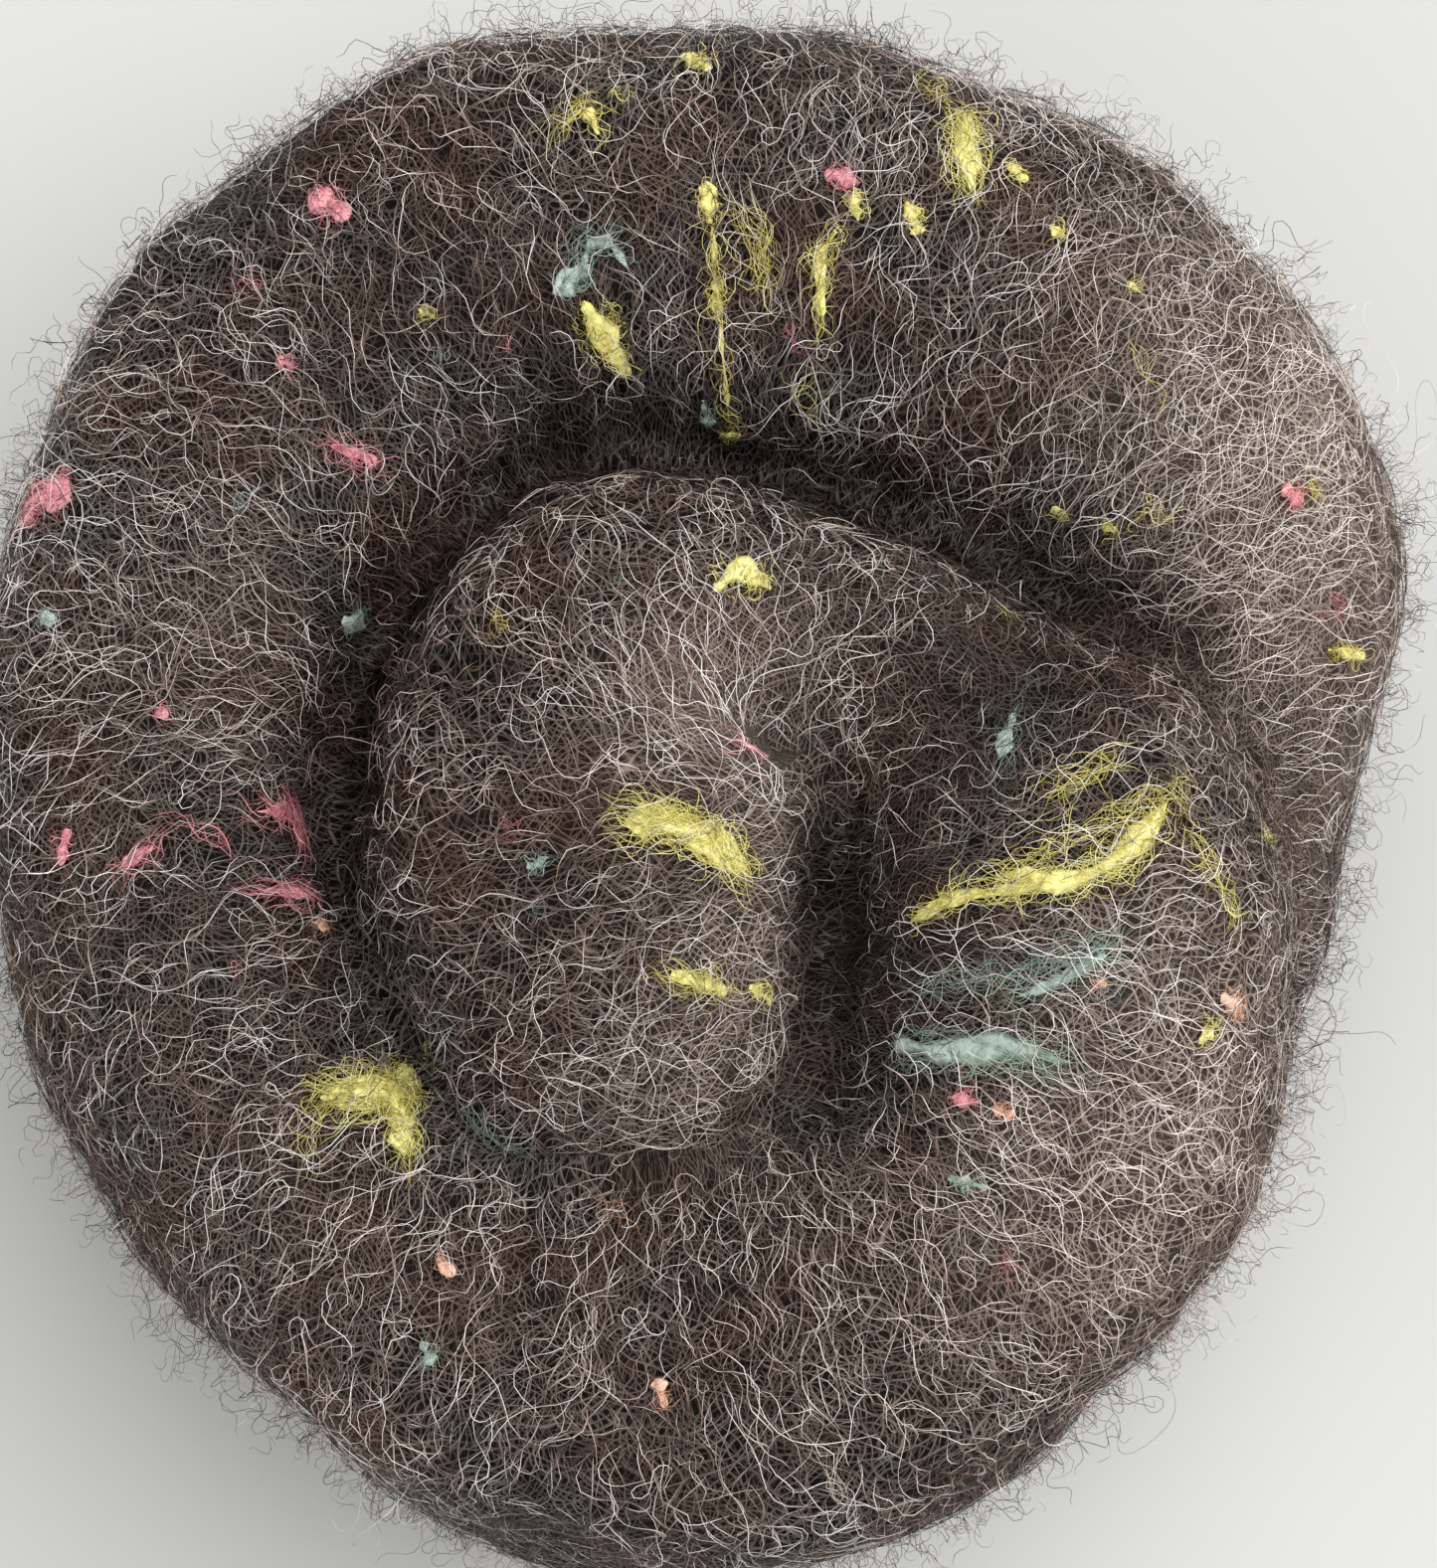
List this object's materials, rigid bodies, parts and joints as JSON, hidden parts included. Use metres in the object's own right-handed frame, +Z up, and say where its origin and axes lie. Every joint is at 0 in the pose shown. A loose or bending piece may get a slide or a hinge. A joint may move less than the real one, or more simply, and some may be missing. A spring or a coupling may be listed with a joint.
{
  "type": "carded wool batt",
  "caption": "Carded wool batt, folded over and rolled into a nest that stands on its edge, with a deep spiral crease and flecks of coloured fibre carded in.",
  "frame": {"origin": "under the middle of the roll, on the surface that it stands on", "axes": "+Z up through the spiral from the flat foot to the folded top, +X to the right in the picture, +Y away from the viewer"},
  "size_m": [0.1842, 0.1978, 0.0985],
  "materials": {
    "wool": "loose crimped fibre, dark brown to silver grey",
    "yellow_wool": "loose dyed fibre",
    "pink_wool": "loose dyed fibre",
    "green_wool": "loose dyed fibre"
  },
  "bodies": {
    "root": {"wool_batt_roll": "wool"}
  },
  "joints": []
}
